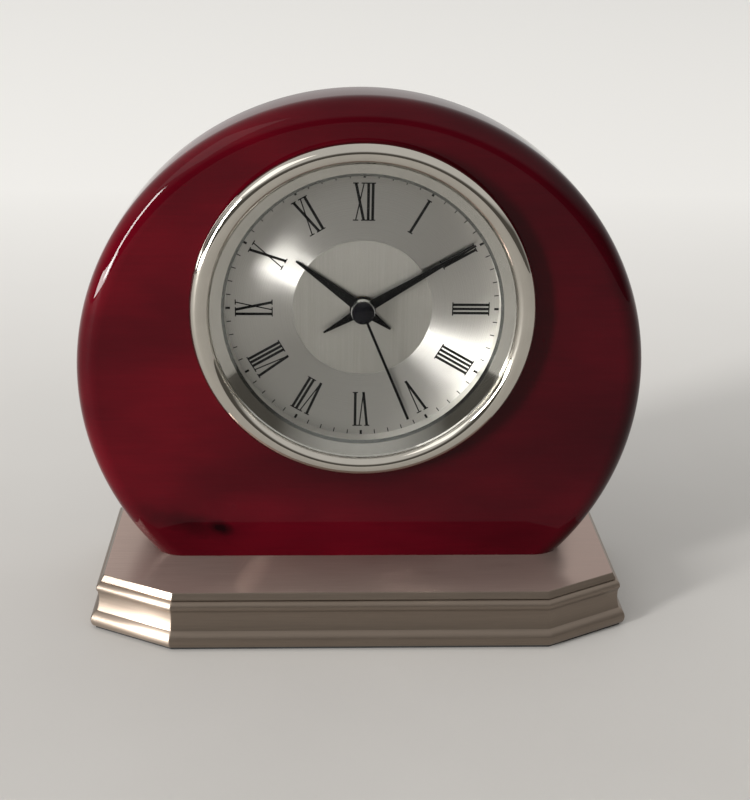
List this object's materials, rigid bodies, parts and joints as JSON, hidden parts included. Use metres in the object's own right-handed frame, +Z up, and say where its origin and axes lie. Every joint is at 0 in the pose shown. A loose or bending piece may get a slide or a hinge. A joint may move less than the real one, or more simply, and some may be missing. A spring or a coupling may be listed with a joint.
{
  "type": "desk clock",
  "caption": "Desk clock: a rounded slab of lacquered wood holding a quartz insert with polished bezel, silver dial and hands, on a moulded metal plinth.",
  "frame": {"origin": "on the surface that the clock stands on, under the middle of the plinth", "axes": "+Z up, the dial faces -Y, +X to the right of someone who reads the dial"},
  "size_m": [0.152, 0.0728, 0.142],
  "materials": {
    "rosewood": "red rosewood under clear high-gloss lacquer",
    "plinth_metal": "satin, brushed along the top",
    "pad_rubber": "matt foam rubber",
    "screw_steel": "zinc plated",
    "bezel_chrome": "polished",
    "lens_glass": "clear flat glass",
    "dial_silver": "spun outer zone, brushed centre",
    "hand_black": "black enamel",
    "cap_black": "gloss black",
    "collet_steel": "turned",
    "case_plastic": "moulded black",
    "grip_rubber": "soft ribbed rubber",
    "plate_plastic": "moulded",
    "gear_plastic": "moulded natural plastic",
    "brass": "turned",
    "battery_wrap": "plain wrapped cell",
    "contact_steel": "nickel plated spring strip",
    "magnet": "sintered",
    "core_iron": "soft iron sheet",
    "bobbin_plastic": "moulded",
    "copper_wire": "enamelled copper wire",
    "board": "etched board",
    "chip_resin": "black resin",
    "crystal_can": "drawn can"
  },
  "bodies": {
    "clock_body": {"wood_body": "rosewood", "base_plinth": "plinth_metal", "base_pad": "pad_rubber", "base_screws": "screw_steel", "base_washers": "screw_steel", "movement_screws": "screw_steel", "bezel": "bezel_chrome", "dial_ring": "bezel_chrome", "lens": "lens_glass", "dial": "dial_silver", "insert_case": "case_plastic", "grip_band": "grip_rubber", "front_plate": "plate_plastic", "back_plate": "plate_plastic", "centre_bush": "brass", "battery": "battery_wrap", "contact_positive": "contact_steel", "contact_negative": "contact_steel", "stator": "core_iron", "coil_core": "core_iron", "coil_bobbin": "bobbin_plastic", "coil_winding": "copper_wire", "circuit_board": "board", "clock_chip": "chip_resin", "quartz_crystal": "crystal_can"},
    "rotor": {"rotor_magnet": "magnet", "rotor_pinion": "gear_plastic"},
    "intermediate_train": {"intermediate_wheel": "gear_plastic"},
    "seconds_train": {"seconds_wheel": "gear_plastic", "second_hand": "hand_black", "hand_cap": "cap_black"},
    "third_train": {"third_wheel": "gear_plastic"},
    "minute_train": {"centre_wheel": "gear_plastic", "minute_collet": "collet_steel", "minute_hand": "hand_black"},
    "setting_train": {"minute_wheel": "gear_plastic", "set_arbor": "brass", "set_knob": "case_plastic"},
    "hour_train": {"hour_wheel": "gear_plastic", "hour_hand": "hand_black"},
    "battery_door": {"battery_cover": "case_plastic"}
  },
  "joints": [
    {"name": "seconds_spin", "type": "hinge", "parent": "clock_body", "child": "seconds_train", "pos_m": [0, 0, 0.0868], "axis": [0, 1, 0], "continuous": true},
    {"name": "rotor_spin", "type": "hinge", "parent": "clock_body", "child": "rotor", "pos_m": [0.0009, 0, 0.10706], "axis": [0, 1, 0], "continuous": true},
    {"name": "intermediate_spin", "type": "hinge", "parent": "clock_body", "child": "intermediate_train", "pos_m": [0.0063, 0, 0.09771], "axis": [0, 1, 0], "continuous": true},
    {"name": "third_spin", "type": "hinge", "parent": "clock_body", "child": "third_train", "pos_m": [0.01188, 0, 0.08513], "axis": [0, 1, 0], "continuous": true},
    {"name": "minute_spin", "type": "hinge", "parent": "clock_body", "child": "minute_train", "pos_m": [0, 0, 0.0868], "axis": [0, 1, 0], "continuous": true},
    {"name": "setting_spin", "type": "hinge", "parent": "clock_body", "child": "setting_train", "pos_m": [-0.01143, 0, 0.0934], "axis": [0, 1, 0], "continuous": true},
    {"name": "hour_spin", "type": "hinge", "parent": "clock_body", "child": "hour_train", "pos_m": [0, 0, 0.0868], "axis": [0, 1, 0], "continuous": true},
    {"name": "cover_slide", "type": "slide", "parent": "clock_body", "child": "battery_door", "axis": [0, 1, 0], "range_m": [0, 0.02]}
  ],
  "couplings": [
    {"joint": "rotor_spin", "follows": "seconds_spin", "ratio": 30},
    {"joint": "intermediate_spin", "follows": "seconds_spin", "ratio": -6},
    {"joint": "third_spin", "follows": "seconds_spin", "ratio": -0.13333},
    {"joint": "minute_spin", "follows": "seconds_spin", "ratio": 0.016667},
    {"joint": "setting_spin", "follows": "seconds_spin", "ratio": -0.0055556},
    {"joint": "hour_spin", "follows": "seconds_spin", "ratio": 0.0013889}
  ]
}
